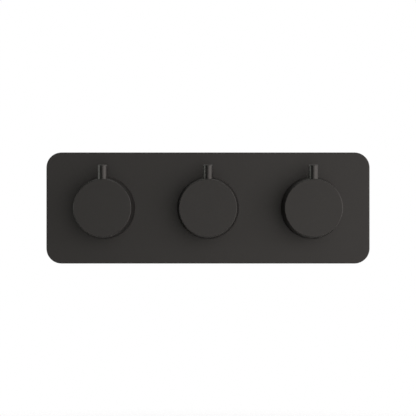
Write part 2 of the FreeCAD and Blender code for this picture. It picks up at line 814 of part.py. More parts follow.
def regulating_shuttle():
    """Sleeve that opens the hot gap as it closes the cold one, carried on four spokes."""
    shell = ring_y(shuttle_radius, shuttle_radius - shuttle_wall, shuttle_front, shuttle_back)
    hub_radius_out = wax_bulb_radius + fit + shuttle_hub_wall
    hub = bar_y(hub_radius_out, wax_flange_back, shuttle_hub_back)
    reach = shuttle_radius - shuttle_wall / 2
    half = shuttle_spoke_half_width
    spokes = [
        box(-reach, reach, wax_flange_back, shuttle_hub_back, -half, half),
        box(-half, half, wax_flange_back, shuttle_hub_back, -reach, reach),
    ]
    shuttle = joined([shell, hub] + spokes)
    shuttle = shuttle.cut(bar_y(wax_bulb_radius + fit, wax_flange_back - 1, shuttle_hub_back + 1))
    half_groove = shuttle_seal_section + groove_side_gap
    floor = shuttle_radius + fit - 2 * shuttle_seal_section
    low, high = shuttle_seal_y - half_groove, shuttle_seal_y + half_groove
    return shuttle.cut(ring_y(shuttle_radius + 1, floor, low, high))


def shuttle_seal():
    """O-ring round the shuttle that keeps hot water from cold."""
    inner = shuttle_radius + fit - 2 * shuttle_seal_section
    return o_ring(inner, shuttle_seal_section - fit / 4, (0, shuttle_seal_y, 0), (0, 1, 0))


def cage_bore_radius():
    """Inside of the cage, in which the shuttle slides."""
    return shuttle_radius + fit


def hot_seat_ring():
    """Brass ring screwed into the cage: the seat that shuts off hot water."""
    return ring_y(cage_bore_radius() - fit, seat_bore_radius, hot_seat_back - hot_seat_length, hot_seat_back)


def return_spring():
    """Spring that pushes the shuttle and the wax element back towards the hot seat."""
    wire = return_wire / 2
    mean = seat_bore_radius - wire - return_spring_gap
    length = cage_spring_seat - shuttle_hub_back
    return spring(mean, wire, length, return_turns, (0, shuttle_hub_back, 0), (0, 1, 0))


def cage_seal_places():
    """Depths of the three seals round the cage."""
    middle = (hot_channel_y + cold_channel_y) / 2
    step = middle - hot_channel_y + cage_window_length / 2 + cage_seal_section + cage_seal_land
    return [middle - step, middle, middle + step]


def thermo_cage():
    """Plastic cage with hot and cold windows, the cold seat and the return spring's seat."""
    outer = thermo_bore_radius - fit
    bore = cage_bore_radius()
    cold_seat_back = cold_seat_front + seat_thickness
    ledge_bore = seat_bore_radius - mixed_way_step
    chamber_bore = seat_bore_radius + seat_back_step
    cage = turned([
        (bore, thermo_thread_back), (outer, thermo_thread_back), (outer, thermo_floor),
        (ledge_bore, thermo_floor), (ledge_bore, cage_spring_seat),
        (chamber_bore, cage_spring_seat), (chamber_bore, cold_seat_back),
        (seat_bore_radius, cold_seat_back), (seat_bore_radius, cold_seat_front), (bore, cold_seat_front),
    ])
    half = cage_window_width / 2
    half_length = cage_window_length / 2
    for y in (hot_channel_y, cold_channel_y):
        for i in range(cage_window_count):
            window = box(bore - 1, outer + 1, y - half_length, y + half_length, -half, half)
            window.rotate(V(0, 0, 0), V(0, 1, 0), 360 * (i + 0.5) / cage_window_count)
            cage = cage.cut(window)
    half_groove = cage_seal_section + groove_side_gap
    floor = outer + fit - 2 * cage_seal_section
    for y in cage_seal_places():
        cage = cage.cut(ring_y(outer + 1, floor, y - half_groove, y + half_groove))
    return cage


def cage_seals():
    """Three O-rings that keep hot, cold and mixed water apart in the socket."""
    inner = thermo_bore_radius - 2 * cage_seal_section
    return [o_ring(inner, cage_seal_section - fit / 4, (0, y, 0), (0, 1, 0)) for y in cage_seal_places()]


# ---------------------------------------------------------------- valve body


def leg(x, direction, foot):
    """Outside of one leg with its octagonal spanner collar."""
    end = direction * leg_reach
    collar_start = direction * (leg_reach - leg_collar_length)
    pipe = bar(leg_radius, (x, leg_y, foot), (x, leg_y, end))
    if foot > 0:
        cap_rim = [e for e in pipe.Edges if e.BoundBox.ZMin > foot - 0.01]
        pipe = pipe.makeFillet(casting_round, cap_rim)
    return joined([pipe, nut_form(8, leg_collar_flats, (x, leg_y, collar_start), (x, leg_y, end))])


def body_outside():
    """The casting before its bores: sockets, legs, bridge, gallery and bracket pads."""
    shapes = [bar(gallery_radius, (-gallery_half_length, gallery_y, 0), (gallery_half_length, gallery_y, 0))]
    for x in stations.values():
        shapes.append(bar_y(neck_radius, neck_front, neck_back + 1, x))
        boss = bar_y(boss_radius, neck_back, gallery_y - gallery_radius / 3, x)
        shapes.append(boss.makeFillet(boss_back_round, edges_at(boss, gallery_y - gallery_radius / 3)))
    for x in flow_stations.values():
        shapes.append(leg(x, 1, 0))
    for x in (-inlet_x, inlet_x):
        shapes.append(leg(x, -1, leg_cap_height))
    bridge_front = hot_channel_y - bridge_half_height
    bridge_back = cold_channel_y + bridge_half_height
    bridge = box(-inlet_x, inlet_x, bridge_front, bridge_back, -bridge_half_height, bridge_half_height)
    shapes.append(softened(bridge, casting_round, V(1, 0, 0)))
    for side in (-1, 1):
        low = side * pad_x - pad_width / 2
        pad = box(low, low + pad_width, gallery_y, pad_back, -pad_half_height, pad_half_height)
        shapes.append(softened(pad, casting_round, V(0, 1, 0)))
    return joined(shapes)


def body_bores():
    """Everything that is bored out of the casting."""
    plug_start = gallery_half_length - gallery_plug_thread_length - 1
    past_end = gallery_half_length + 1
    cuts = [bar(gallery_bore_radius, (-past_end, gallery_y, 0), (past_end, gallery_y, 0))]
    for side in (-1, 1):
        mouth = (side * past_end, gallery_y, 0)
        cuts.append(bar(gallery_plug_thread_radius, (side * plug_start, gallery_y, 0), mouth))
        for z in (-pad_screw_z, pad_screw_z):
            cuts.append(bar_y(pad_screw_radius, pad_back - pad_screw_length, pad_back + 1, side * pad_x, z))
    for x in flow_stations.values():
        cuts.append(bar_y(flow_bore_radius, neck_front - 1, flow_floor, x))
        cuts.append(bar_y(flow_bore_radius + recess_depth, flow_window_front - 1, flow_window_back + 1, x))
        cuts.append(bar_y(flow_water_radius, flow_floor - 1, gallery_y, x))
        cuts.append(bar(leg_bore_radius - 0.5, (x, leg_y, 0), (x, leg_y, leg_reach)))
        cuts.append(bar(port_radius, (x, leg_y, leg_reach - port_length), (x, leg_y, leg_reach + 1)))
    cuts.append(bar_y(thermo_bore_radius, neck_front - 1, thermo_floor))
    cuts.append(bar_y(gallery_bore_radius, thermo_floor - 1, gallery_y))
    for side, y in ((-1, hot_channel_y), (1, cold_channel_y)):
        x = side * inlet_x
        half = cage_window_length / 2
        cuts.append(bar_y(thermo_bore_radius + recess_depth, y - half, y + half))
        cuts.append(bar(channel_radius, (x, y, 0), (side * thermo_bore_radius, y, 0)))
        cuts.append(bar(port_radius, (x, leg_y, -leg_reach - 1), (x, leg_y, strainer_z)))
        cuts.append(bar(leg_bore_radius, (x, leg_y, -leg_reach), (x, leg_y, check_top)))
        cuts.append(bar(leg_upper_bore_radius, (x, leg_y, check_top - 1), (x, leg_y, leg_bore_top)))
    return cuts


def valve_body():
    """One brass casting: three sockets in front, four threaded legs, mixed water gallery behind."""
    body = body_outside()
    for cutter in body_bores():
        body = body.cut(cutter)
    return body


def gallery_plug(side):
    """Threaded hexagon plug in one end of the gallery."""
    seat = side * (gallery_half_length + gallery_seal_thickness)
    end = seat + side * gallery_plug_head
    foot = side * (gallery_half_length - gallery_plug_thread_length)
    head = nut_form(6, gallery_plug_flats, (seat, gallery_y, 0), (end, gallery_y, 0))
    thread = bar(gallery_plug_thread_radius - fit, (foot, gallery_y, 0), (seat + side, gallery_y, 0))
    return joined([head, thread])


def gallery_seal(side):
    """Flat fibre washer under a gallery plug's head."""
    start = (side * gallery_half_length, gallery_y, 0)
    end = (side * (gallery_half_length + gallery_seal_thickness), gallery_y, 0)
    washer = bar(gallery_plug_flats / 2, start, end)
    return washer.cut(bar(gallery_plug_thread_radius, start, end))


# ---------------------------------------------------------------- inlet strainers and check valves


def inlet_strainer(x):
    """Shallow stainless cup with a drilled floor, in the mouth of the leg's bore."""
    radius = leg_bore_radius - fit
    cup = bar(radius, (x, leg_y, strainer_z), (x, leg_y, strainer_z + strainer_thickness))
    inside = strainer_z + strainer_thickness - strainer_floor
    cup = cup.cut(bar(radius - strainer_wall, (x, leg_y, strainer_z - 1), (x, leg_y, inside)))
    pitch = strainer_hole_radius * 3
    reach = int(radius / pitch) + 1
    holes = []
    for row in range(-reach, reach + 1):
        for column in range(-reach, reach + 1):
            across = x + (column + row / 2) * pitch
            deep = leg_y + row * pitch * math.sqrt(3) / 2
            if math.hypot(across - x, deep - leg_y) < radius - strainer_rim - strainer_hole_radius:
                top = strainer_z + strainer_thickness + 1
                holes.append(bar(strainer_hole_radius, (across, deep, strainer_z), (across, deep, top)))
    return cup.cut(holes)


def check_cage(x):
    """Plastic cage of a check valve: seat below, guide for the poppet's stem above."""
    radius = leg_bore_radius - fit
    cage = bar(radius, (x, leg_y, check_bottom), (x, leg_y, check_top))
    cage = cage.cut(bar(radius - check_cage_wall, (x, leg_y, check_seat_z), (x, leg_y, check_top + 1)))
    cage = cage.cut(bar(check_seat_radius, (x, leg_y, check_bottom - 1), (x, leg_y, check_top)))
    top = check_guide_bottom + check_guide_length
    hub = bar(check_stem_radius + check_guide_wall, (x, leg_y, check_guide_bottom), (x, leg_y, top))
    reach = radius - check_cage_wall / 2
    half = check_spoke_half_width
    spokes = [
        box(x - reach, x + reach, leg_y - half, leg_y + half, check_guide_bottom, top),
        box(x - half, x + half, leg_y - reach, leg_y + reach, check_guide_bottom, top),
    ]
    cage = joined([cage, hub] + spokes)
    return cage.cut(bar(check_stem_radius + fit, (x, leg_y, check_guide_bottom - 1), (x, leg_y, top + 1)))


def check_poppet(x):
    """Poppet that rests on the cage's seat and lifts in the flow."""
    bottom = check_seat_z + fit
    disc = bar(check_poppet_radius, (x, leg_y, bottom), (x, leg_y, bottom + check_poppet_thickness))
    stem = bar(check_stem_radius, (x, leg_y, bottom), (x, leg_y, bottom + check_stem_length))
    return joined([disc, stem])


def check_spring(x):
    """Light spring round the poppet's stem."""
    wire = check_wire / 2
    bottom = check_seat_z + fit + check_poppet_thickness + check_spring_end_gap
    length = check_guide_bottom - check_spring_end_gap - bottom
    mean = check_stem_radius + check_spring_side_gap + wire
    return spring(mean, wire, length, check_turns, (x, leg_y, bottom), (0, 0, 1))


# ---------------------------------------------------------------- mounting bracket


def mounting_bracket():
    """Folded steel strip behind the body; its wings step back to the backing board."""
    wing = bracket_half_width - bracket_wing
    fold = bracket_step
    back = bracket_back
    centre_front = pad_back
    centre_back = pad_back + bracket_thickness
    outline = [
        (-bracket_half_width, back - bracket_thickness), (-bracket_half_width, back), (-wing, back),
        (-wing + fold, centre_back), (wing - fold, centre_back), (wing, back),
        (bracket_half_width, back), (bracket_half_width, back - bracket_thickness),
        (wing + 1, back - bracket_thickness), (wing - fold + 1, centre_front),
        (-wing + fold - 1, centre_front), (-wing - 1, back - bracket_thickness),
    ]
    corners = [V(x, y, -bracket_height / 2) for x, y in outline]
    bracket = Part.Face(Part.makePolygon(corners + corners[:1])).extrude(V(0, 0, bracket_height))
    for side in (-1, 1):
        for up in (-1, 1):
            fixing = (side * bracket_hole_x, up * bracket_hole_z)
            bracket = bracket.cut(bar_y(bracket_hole_radius, centre_front - 1, back + 1, *fixing))
            joint = (side * pad_x, up * pad_screw_z)
            way = pad_screw_radius + pad_screw_clearance
            bracket = bracket.cut(bar_y(way, centre_front - 1, back + 1, *joint))
    return bracket


def bracket_screw(x, z):
    """Pan head screw from behind the bracket into the body's pad."""
    seat = pad_back + bracket_thickness
    end = seat + pad_screw_head_height
    head = bar_y(pad_screw_head_radius, seat, end, x, z)
    head = head.makeFillet(pad_screw_head_round, edges_at(head, end))
    shank = bar_y(pad_screw_radius - fit, pad_back - pad_screw_length + 1, seat + 1, x, z)
    socket = prism(6, hex_key_large, (x, end - pad_screw_socket_depth, z), (x, end + 1, z))
    return joined([head, shank]).cut(socket)


# ---------------------------------------------------------------- all nodes

save("cover_plate", [cover_plate()])
save("plate_wall_seal", [plate_wall_seal()])
save("plate_ring_nuts", [ring_nut(x) for x in stations.values()])
save("plate_sleeve_seals", [sleeve_seal(x) for x in stations.values()])
for station, station_x in stations.items():
    save(f"sleeve_{station}", [sleeve(station_x)])
    save(f"knob_{station}", [knob(station_x)])
    save(f"knob_pin_{station}", [knob_pin(station_x)])
    save(f"knob_grub_screw_{station}", [knob_grub_screw(station_x)])
    save(f"knob_carrier_{station}", [knob_carrier(station_x)])
    save(f"carrier_screw_{station}", [carrier_screw(station_x)])
    save(f"circlip_{station}", [circlip(station_x)])
for station, station_x in flow_stations.items():
    save(f"flow_housing_{station}", [flow_housing(station_x)])
    save(f"flow_spindle_{station}", [flow_spindle(station_x)])
    save(f"turning_disc_{station}", [turning_disc(station_x)])
    save(f"fixed_disc_{station}", [fixed_disc(station_x)])
save("spindle_seals", [ring for x in stations.values() for ring in spindle_seals(x)])
save("flow_base_seals", [flow_base_seal(x) for x in flow_stations.values()])
save("thermo_bonnet", [thermo_bonnet()])
save("temperature_stop_ring", [temperature_stop_ring()])
save("thermo_spindle", [thermo_spindle()])
save("thermo_drive_nut", [thermo_drive_nut()])
save("overload_spring", [overload_spring()])
save("overload_plunger", [overload_plunger()])
save("wax_piston", [wax_piston()])
save("wax_element", [wax_element()])
save("regulating_shuttle", [regulating_shuttle()])
save("shuttle_seal", [shuttle_seal()])
save("hot_seat_ring", [hot_seat_ring()])
save("return_spring", [return_spring()])
save("thermo_cage", [thermo_cage()])
save("cage_seals", cage_seals())
save("valve_body", [valve_body()])
save("gallery_plugs", [gallery_plug(side) for side in (-1, 1)])
save("gallery_seals", [gallery_seal(side) for side in (-1, 1)])
save("inlet_strainers", [inlet_strainer(x) for x in (-inlet_x, inlet_x)])
save("check_cages", [check_cage(x) for x in (-inlet_x, inlet_x)])
save("check_springs", [check_spring(x) for x in (-inlet_x, inlet_x)])
save("check_poppet_hot", [check_poppet(-inlet_x)])
save("check_poppet_cold", [check_poppet(inlet_x)])
save("mounting_bracket", [mounting_bracket()])
save("bracket_screws", [bracket_screw(x, z) for x in (-pad_x, pad_x) for z in (-pad_screw_z, pad_screw_z)])
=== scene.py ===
import bpy
import math
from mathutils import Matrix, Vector, noise


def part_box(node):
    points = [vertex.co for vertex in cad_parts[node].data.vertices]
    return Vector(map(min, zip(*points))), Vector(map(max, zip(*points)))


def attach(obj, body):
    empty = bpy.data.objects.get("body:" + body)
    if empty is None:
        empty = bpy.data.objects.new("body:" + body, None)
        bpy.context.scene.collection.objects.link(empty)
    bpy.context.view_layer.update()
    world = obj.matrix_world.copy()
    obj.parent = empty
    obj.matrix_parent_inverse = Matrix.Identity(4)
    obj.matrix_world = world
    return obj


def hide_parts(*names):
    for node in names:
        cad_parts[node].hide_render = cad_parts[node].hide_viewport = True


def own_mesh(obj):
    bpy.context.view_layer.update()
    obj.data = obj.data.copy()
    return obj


# Concealed thermostatic shower valve, dressed in the order in which a plumber puts it together: the
# rough-in valve that goes into the wall, its cartridges, then the sleeves, cover plate and knobs.
# Metres. X runs right, Y runs into the wall, Z runs up, and y = 0 is the face of the finished wall.

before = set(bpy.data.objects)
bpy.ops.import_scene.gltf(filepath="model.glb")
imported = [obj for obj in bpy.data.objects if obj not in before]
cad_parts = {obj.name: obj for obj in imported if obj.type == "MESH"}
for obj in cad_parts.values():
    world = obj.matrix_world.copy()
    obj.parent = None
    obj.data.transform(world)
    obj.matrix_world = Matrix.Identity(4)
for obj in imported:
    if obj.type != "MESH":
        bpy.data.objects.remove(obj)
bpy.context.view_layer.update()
MM = 0.001

# ---------------------------------------------------------------- mounting bracket
# A folded strip of galvanised steel behind the body, screwed to the backing board inside the wall.
# Hot-dip zinc freezes in crystals, so the sheet is a patchwork of slightly different greys.


def linear(colour):
    """An sRGB hex colour as the linear RGBA that Blender's sockets take."""
    parts = [int(colour[i:i + 2], 16) / 255 for i in (1, 3, 5)]
    return [c / 12.92 if c <= 0.04045 else ((c + 0.055) / 1.055) ** 2.4 for c in parts] + [1.0]


def new_material(name, colour, metallic, roughness):
    """A material whose shader has that sRGB colour, metallic and roughness, and the shader."""
    material = bpy.data.materials.new(name)
    material.use_nodes = True
    shader = material.node_tree.nodes["Principled BSDF"]
    shader.inputs["Base Color"].default_value = linear(colour)
    shader.inputs["Metallic"].default_value = metallic
    shader.inputs["Roughness"].default_value = roughness
    return material, shader


def add_node(material, kind, sockets, **settings):
    """Adds a node. A socket takes a value, or a link where the value is another node's output."""
    node = material.node_tree.nodes.new(kind)
    for name, value in settings.items():
        setattr(node, name, value)
    for name, value in sockets.items():
        if isinstance(value, bpy.types.NodeSocket):
            material.node_tree.links.new(value, node.inputs[name])
        else:
            node.inputs[name].default_value = value
    return node


def link(material, output, shader, socket):
    material.node_tree.links.new(output, shader.inputs[socket])


def dress(material, *names):
    """Gives CAD nodes their finish."""
    for name in names:
        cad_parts[name].material_slots[0].material = material


# Zinc: cool grey metal, a little patchy in brightness and gloss from crystal to crystal, never mirror
# bright. Handling and zinc salts lay a soft cloudiness over the crystals, whose edges wander a little.
spangle_size = 5 * MM
spangle_wander = 9 * MM
salt_cloud = 28 * MM
zinc_grain = 1.2 * MM
zinc, zinc_shader = new_material("hot_dip_galvanised_steel", "#a9aeb2", 1.0, 0.42)
place = add_node(zinc, "ShaderNodeTexCoord", {}).outputs["Object"]
wander = add_node(zinc, "ShaderNodeTexNoise", {"Vector": place, "Scale": 1 / spangle_wander, "Detail": 2.0})
bent = add_node(zinc, "ShaderNodeMix", {"Factor": 0.004, 4: place, 5: wander.outputs["Color"]},
                data_type="VECTOR")
crystals = add_node(zinc, "ShaderNodeTexVoronoi", {"Vector": bent.outputs[1], "Scale": 1 / spangle_size})
shade = add_node(zinc, "ShaderNodeSeparateColor", {"Color": crystals.outputs["Color"]}).outputs["Red"]
salts = add_node(zinc, "ShaderNodeTexNoise", {"Vector": place, "Scale": 1 / salt_cloud, "Detail": 4.0})
patches = add_node(zinc, "ShaderNodeMix", {"Factor": 0.45, 2: shade, 3: salts.outputs["Fac"]})
tint = add_node(zinc, "ShaderNodeMix", {
    "Factor": patches.outputs[0], 6: linear("#949a9e"), 7: linear("#b9bec1"),
}, data_type="RGBA")
gloss = add_node(zinc, "ShaderNodeMapRange", {"Value": shade, "To Min": 0.38, "To Max": 0.5})
grain = add_node(zinc, "ShaderNodeTexNoise", {"Vector": place, "Scale": 1 / zinc_grain, "Detail": 3.0})
relief = add_node(zinc, "ShaderNodeBump", {
    "Height": grain.outputs["Fac"], "Strength": 0.25, "Distance": 0.1 * MM,
})
link(zinc, tint.outputs[2], zinc_shader, "Base Color")
link(zinc, gloss.outputs["Result"], zinc_shader, "Roughness")
link(zinc, relief.outputs["Normal"], zinc_shader, "Normal")
dress(zinc, "mounting_bracket")

# The four pan head screws are stainless steel, cold formed and tumbled.
# Tumbling leaves tiny dents, so the highlight on a head is soft and a little broken.
tumbled_dent = 0.8 * MM
stainless, stainless_shader = new_material("tumbled_stainless_steel", "#c3c2be", 1.0, 0.28)
place = add_node(stainless, "ShaderNodeTexCoord", {}).outputs["Object"]
dents = add_node(stainless, "ShaderNodeTexNoise", {
    "Vector": place, "Scale": 1 / tumbled_dent, "Detail": 2.0,
})
gloss = add_node(stainless, "ShaderNodeMapRange", {
    "Value": dents.outputs["Fac"], "To Min": 0.2, "To Max": 0.38,
})
relief = add_node(stainless, "ShaderNodeBump", {
    "Height": dents.outputs["Fac"], "Strength": 0.3, "Distance": 0.05 * MM,
})
link(stainless, gloss.outputs["Result"], stainless_shader, "Roughness")
link(stainless, relief.outputs["Normal"], stainless_shader, "Normal")
dress(stainless, "bracket_screws")

# ---------------------------------------------------------------- valve body
# One casting of dezincification-resistant brass: three sockets, four legs and the gallery behind.
# It is cast in sand and shot blasted, then machined on its port faces, collars and sockets.

# Cast brass: dull ochre with the sand's grain, stained in patches. Machined zones are paler and
# smoother, and the collars of the ports show fine turning rings.
sand_grain = 1.4 * MM           # foundry sand is 0.3 mm, drawn coarser so that it shows
turning_feed = 1.2 * MM         # real feed marks are 0.2 mm, drawn coarser so that they show
corner_wear = 0.9 * MM
stain_size = 22 * MM
collar_start = 37.2 * MM
neck_end = 26.2 * MM
cast_brass, cast_shader = new_material("sand_cast_brass", "#b08d57", 1.0, 0.5)
place = add_node(cast_brass, "ShaderNodeTexCoord", {}).outputs["Object"]
sand = add_node(cast_brass, "ShaderNodeTexNoise", {
    "Vector": place, "Scale": 1 / sand_grain, "Detail": 4.0, "Roughness": 0.65,
})
stain = add_node(cast_brass, "ShaderNodeTexNoise", {"Vector": place, "Scale": 1 / stain_size, "Detail": 3.0})
axes = add_node(cast_brass, "ShaderNodeSeparateXYZ", {"Vector": place})
height = add_node(cast_brass, "ShaderNodeMath", {0: axes.outputs["Z"]}, operation="ABSOLUTE")
on_collar = add_node(cast_brass, "ShaderNodeMath", {0: height.outputs[0], 1: collar_start},
                     operation="GREATER_THAN")
on_neck = add_node(cast_brass, "ShaderNodeMath", {0: axes.outputs["Y"], 1: neck_end}, operation="LESS_THAN")
machined = add_node(cast_brass, "ShaderNodeMath", {0: on_collar.outputs[0], 1: on_neck.outputs[0]},
                    operation="MAXIMUM")
raw_colour = add_node(cast_brass, "ShaderNodeMix", {
    "Factor": stain.outputs["Fac"], 6: linear("#94754a"), 7: linear("#b8955f"),
}, data_type="RGBA")
# Tumbling in the blaster rounds the casting's corners and rubs them bright.
rounded = add_node(cast_brass, "ShaderNodeBevel", {"Radius": corner_wear}, samples=6)
flat = add_node(cast_brass, "ShaderNodeNewGeometry", {})
turned_away = add_node(cast_brass, "ShaderNodeVectorMath", {
    0: rounded.outputs["Normal"], 1: flat.outputs["Normal"],
}, operation="DOT_PRODUCT")
rubbed = add_node(cast_brass, "ShaderNodeMapRange", {
    "Value": turned_away.outputs["Value"], "From Min": 0.99, "From Max": 0.85, "To Max": 0.6,
})
worn_colour = add_node(cast_brass, "ShaderNodeMix", {
    "Factor": rubbed.outputs["Result"], 6: raw_colour.outputs[2], 7: linear("#d0b278"),
}, data_type="RGBA")
colour = add_node(cast_brass, "ShaderNodeMix", {
    "Factor": machined.outputs[0], 6: worn_colour.outputs[2], 7: linear("#cfae6c"),
}, data_type="RGBA")
raw_gloss = add_node(cast_brass, "ShaderNodeMapRange", {
    "Value": sand.outputs["Fac"], "To Min": 0.5, "To Max": 0.7,
})
gloss = add_node(cast_brass, "ShaderNodeMix", {
    "Factor": machined.outputs[0], 2: raw_gloss.outputs["Result"], 3: 0.27,
})
rings = add_node(cast_brass, "ShaderNodeMath", {0: axes.outputs["Z"], 1: 2 * math.pi / turning_feed},
                 operation="MULTIPLY")
ring_wave = add_node(cast_brass, "ShaderNodeMath", {0: rings.outputs[0]}, operation="SINE")
fine = add_node(cast_brass, "ShaderNodeMath", {0: ring_wave.outputs[0], 1: 0.06}, operation="MULTIPLY")
surface = add_node(cast_brass, "ShaderNodeMix", {
    "Factor": machined.outputs[0], 2: sand.outputs["Fac"], 3: fine.outputs[0],
})
relief = add_node(cast_brass, "ShaderNodeBump", {
    "Height": surface.outputs[0], "Strength": 0.8, "Distance": 0.45 * MM,
    "Normal": rounded.outputs["Normal"],
})
link(cast_brass, colour.outputs[2], cast_shader, "Base Color")
link(cast_brass, gloss.outputs[0], cast_shader, "Roughness")
link(cast_brass, relief.outputs["Normal"], cast_shader, "Normal")
dress(cast_brass, "valve_body")

# Turned brass for everything that comes off the lathe: yellow, satin, with rings round its axis.
coolant_smear = 14 * MM
turned_brass, turned_shader = new_material("turned_brass", "#d3b06a", 1.0, 0.26)
place = add_node(turned_brass, "ShaderNodeTexCoord", {}).outputs["Object"]
feed = add_node(turned_brass, "ShaderNodeSeparateXYZ", {"Vector": place})
wave = add_node(turned_brass, "ShaderNodeMath", {0: feed.outputs["Y"], 1: 2 * math.pi / turning_feed},
                operation="MULTIPLY")
ridges = add_node(turned_brass, "ShaderNodeMath", {0: wave.outputs[0]}, operation="SINE")
smear = add_node(turned_brass, "ShaderNodeTexNoise", {
    "Vector": place, "Scale": 1 / coolant_smear, "Detail": 2.0,
})
gloss = add_node(turned_brass, "ShaderNodeMapRange", {
    "Value": smear.outputs["Fac"], "To Min": 0.25, "To Max": 0.33,
})
tint = add_node(turned_brass, "ShaderNodeMix", {
    "Factor": smear.outputs["Fac"], 6: linear("#c8a463"), 7: linear("#d6b470"),
}, data_type="RGBA")
relief = add_node(turned_brass, "ShaderNodeBump", {
    "Height": ridges.outputs[0], "Strength": 0.15, "Distance": 0.05 * MM,
})
link(turned_brass, tint.outputs[2], turned_shader, "Base Color")
link(turned_brass, gloss.outputs["Result"], turned_shader, "Roughness")
link(turned_brass, relief.outputs["Normal"], turned_shader, "Normal")
dress(turned_brass, "gallery_plugs")

# Internal G 1/2 threads of the four ports, cut after casting: 14 turns to the inch.
# Each is a thin brass ring with one continuous ridge, set into the wall of its port.
port_radius = 9.315 * MM
port_depth = 15 * MM
port_face = 50 * MM
port_y = 44 * MM
port_pitch = 1.814 * MM
port_ridge = 0.5 * MM
port_skin = 0.2 * MM
port_steps, port_rows = 64, 56


def circle(centre, across, side, radius, steps):
    """A loop of points round a centre, which sets out across and turns towards the side."""
    angles = [2 * math.pi * step / steps for step in range(steps)]
    return [centre + (across * math.cos(angle) + side * math.sin(angle)) * radius for angle in angles]


def threaded_wall(start, inward, across, radius, length, pitch, ridge, steps, rows):
    """Loops of points down a threaded wall, from its mouth inwards.
    The ridge is a triangle wave that climbs one pitch to a turn and fades out at both ends."""
    outs = circle(Vector((0, 0, 0)), across, inward.cross(across), 1, steps)
    points = []
    for row in range(rows + 1):
        along = length * row / rows
        fade = min(1, along / pitch, (length - along) / pitch)
        for step, out in enumerate(outs):
            phase = (along / pitch - step / steps) % 1
            reach = radius + ridge * fade * (1 - abs(2 * phase - 1))
            points.append(start + inward * along + out * reach)
    return points


def bridge(points, steps, closed):
    """Faces between neighbouring loops of points, and from the last loop to the first where closed."""
    loops = len(points) // steps
    faces = []
    for loop in range(loops if closed else loops - 1):
        low, high = loop * steps, (loop + 1) % loops * steps
        for step in range(steps):
            following = (step + 1) % steps
            faces.append((low + step, low + following, high + following, high + step))
    return faces


def new_piece(name, points, faces, material, body, replaced=()):
    """A mesh piece that rides on a body and takes the given material as its finish."""
    mesh = bpy.data.meshes.new(name)
    mesh.from_pydata(points, [], faces)
    mesh.materials.append(material)
    mesh.update()
    piece = bpy.data.objects.new(name, mesh)
    bpy.context.scene.collection.objects.link(piece)
    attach(piece, body)
    if replaced:
        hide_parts(*replaced)
    return piece


to_right = Vector((1, 0, 0))
station_spacing = 102.7 * MM
ports = {
    "hot_inlet": (-station_spacing / 2, -1), "cold_inlet": (station_spacing / 2, -1),
    "left_outlet": (-station_spacing, 1), "right_outlet": (station_spacing, 1),
}
for port, (x, up) in ports.items():
    mouth, inward = Vector((x, port_y, up * port_face)), Vector((0, 0, -up))
    points = threaded_wall(mouth, inward, to_right, port_radius, port_depth, port_pitch, -port_ridge,
                           port_steps, port_rows)
    for along in (port_depth, 0):
        points += circle(mouth + inward * along, to_right, inward.cross(to_right), port_radius + port_skin,
                         port_steps)
    faces = [face[::-1] for face in bridge(points, port_steps, True)]
    new_piece(f"{port}_thread", points, faces, turned_brass, "root")

# Gallery plugs seal on flat washers of vulcanised fibre, punched from red sheet.
# Pressed paper fibre is matt, with a faint mottle.
fibre_fleck = 1.5 * MM
fibre, fibre_shader = new_material("vulcanised_red_fibre", "#9c3a2c", 0.0, 0.75)
place = add_node(fibre, "ShaderNodeTexCoord", {}).outputs["Object"]
mottle = add_node(fibre, "ShaderNodeTexNoise", {"Vector": place, "Scale": 1 / fibre_fleck, "Detail": 4.0})
tint = add_node(fibre, "ShaderNodeMix", {
    "Factor": mottle.outputs["Fac"], 6: linear("#7f2b20"), 7: linear("#b04a38"),
}, data_type="RGBA")
relief = add_node(fibre, "ShaderNodeBump", {
    "Height": mottle.outputs["Fac"], "Strength": 0.4, "Distance": 0.1 * MM,
})
link(fibre, tint.outputs[2], fibre_shader, "Base Color")
link(fibre, relief.outputs["Normal"], fibre_shader, "Normal")
dress(fibre, "gallery_seals")

# ---------------------------------------------------------------- strainers and check valves
# In each inlet leg sits a drilled stainless cup, and above it a moulded cage with a poppet on a
# light spring, which stops water from crossing between hot and cold.

dress(stainless, "inlet_strainers")

# Acetal: milky, slightly waxy plastic from a polished mould, with faint flow marks.
flow_mark = 6 * MM
acetal, acetal_shader = new_material("moulded_acetal", "#dcdad2", 0.0, 0.38)
acetal_shader.inputs["IOR"].default_value = 1.48
acetal_shader.inputs["Subsurface Weight"].default_value = 0.15
acetal_shader.inputs["Subsurface Radius"].default_value = (1.5 * MM, 1.2 * MM, 1.0 * MM)
place = add_node(acetal, "ShaderNodeTexCoord", {}).outputs["Object"]
flow = add_node(acetal, "ShaderNodeTexNoise", {"Vector": place, "Scale": 1 / flow_mark, "Detail": 2.0})
gloss = add_node(acetal, "ShaderNodeMapRange", {"Value": flow.outputs["Fac"], "To Min": 0.3, "To Max": 0.46})
tint = add_node(acetal, "ShaderNodeMix", {
    "Factor": flow.outputs["Fac"], 6: linear("#d5d3ca"), 7: linear("#e3e1da"),
}, data_type="RGBA")
link(acetal, gloss.outputs["Result"], acetal_shader, "Roughness")
link(acetal, tint.outputs[2], acetal_shader, "Base Color")
dress(acetal, "check_cages", "check_poppet_hot", "check_poppet_cold")

# Spring wire: grey steel, whose gloss is broken finely by the marks of the drawing die.
die_mark = 0.5 * MM
wire, wire_shader = new_material("drawn_spring_steel", "#9b9c9d", 1.0, 0.33)
place = add_node(wire, "ShaderNodeTexCoord", {}).outputs["Object"]
scratches = add_node(wire, "ShaderNodeTexNoise", {
    "Vector": place, "Scale": 1 / die_mark, "Detail": 3.0,
})
gloss = add_node(wire, "ShaderNodeMapRange", {
    "Value": scratches.outputs["Fac"], "To Min": 0.25, "To Max": 0.42,
})
link(wire, gloss.outputs["Result"], wire_shader, "Roughness")
